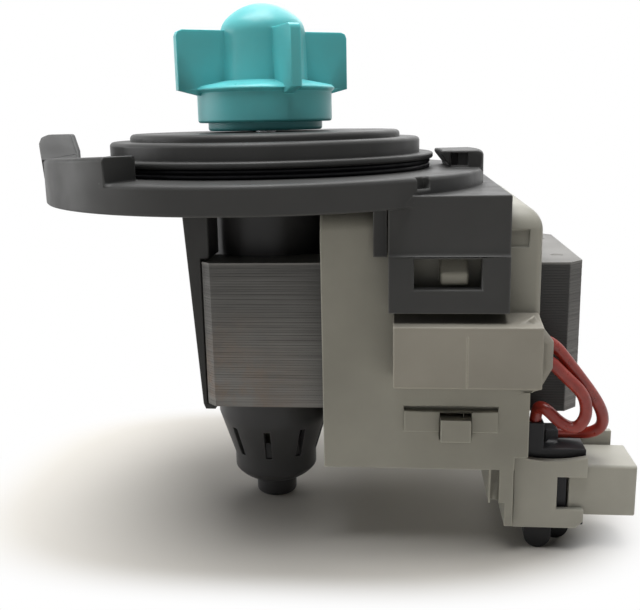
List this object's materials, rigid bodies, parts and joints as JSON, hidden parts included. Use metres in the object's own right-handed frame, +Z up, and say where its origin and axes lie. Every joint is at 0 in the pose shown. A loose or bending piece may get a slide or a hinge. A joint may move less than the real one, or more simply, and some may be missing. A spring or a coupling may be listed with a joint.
{
  "type": "drain pump",
  "caption": "Washer drain pump: bayonet flange with gland seal, laminated stator and coil housing, rotor can, vaned impeller on a lost-motion coupling, and plug connector.",
  "frame": {"origin": "on the rotor axis at the foot of the pilot spigot", "axes": "+Z up the rotor axis to the impeller, +X along the stator core to the connector, -Y to the terminal cover"},
  "size_m": [0.1153, 0.088, 0.1036],
  "materials": {
    "dark_plastic": "moulded, fine sheen",
    "seal_rubber": "moulded rubber",
    "bearing_bronze": "sintered",
    "washer_plastic": "plain",
    "core_steel": "punched laminations, some rust",
    "bobbin_plastic": "moulded",
    "winding_copper": "enamelled wire",
    "fuse_case": "plain",
    "terminal_brass": "plated",
    "grey_plastic": "moulded, fine grain",
    "cover_plastic": "moulded, fine grain",
    "black_plastic": "moulded",
    "red_insulation": "silicone rubber sleeve",
    "teal_plastic": "moulded, satin",
    "shaft_steel": "ground",
    "dog_plastic": "moulded",
    "magnet_ferrite": "sintered"
  },
  "bodies": {
    "root": {"flange_body": "dark_plastic", "rotor_can": "dark_plastic", "bearing_carrier": "dark_plastic", "seal_ring": "seal_rubber", "front_bearing_ring": "seal_rubber", "rear_bearing_ring": "seal_rubber", "shaft_seal": "seal_rubber", "front_bearing": "bearing_bronze", "rear_bearing": "bearing_bronze", "thrust_washers": "washer_plastic", "stator_core": "core_steel", "front_bobbin": "bobbin_plastic", "rear_bobbin": "bobbin_plastic", "front_winding": "winding_copper", "rear_winding": "winding_copper", "coil_link": "winding_copper", "thermal_fuse": "fuse_case", "lead_terminals": "terminal_brass", "contact_pins": "terminal_brass", "coil_housing": "grey_plastic", "housing_base": "grey_plastic", "connector_holder": "grey_plastic", "connector_shell": "grey_plastic", "terminal_cover": "cover_plastic", "terminal_block": "black_plastic", "lead_front": "red_insulation", "lead_rear": "red_insulation"},
    "rotor": {"shaft": "shaft_steel", "rotor_magnet": "magnet_ferrite", "rotor_hub": "dog_plastic", "drive_dog": "dog_plastic", "coupling_damper": "seal_rubber", "shaft_clip": "shaft_steel"},
    "impeller": {"impeller": "teal_plastic", "coupling_cover": "teal_plastic"}
  },
  "joints": [
    {"name": "rotor_spin", "type": "hinge", "parent": "root", "child": "rotor", "pos_m": [0, 0, 0], "axis": [0, 0, 1], "continuous": true},
    {"name": "coupling_play", "type": "hinge", "parent": "rotor", "child": "impeller", "pos_m": [0, 0, 0], "axis": [0, 0, 1], "range_deg": [-104, 104]}
  ]
}
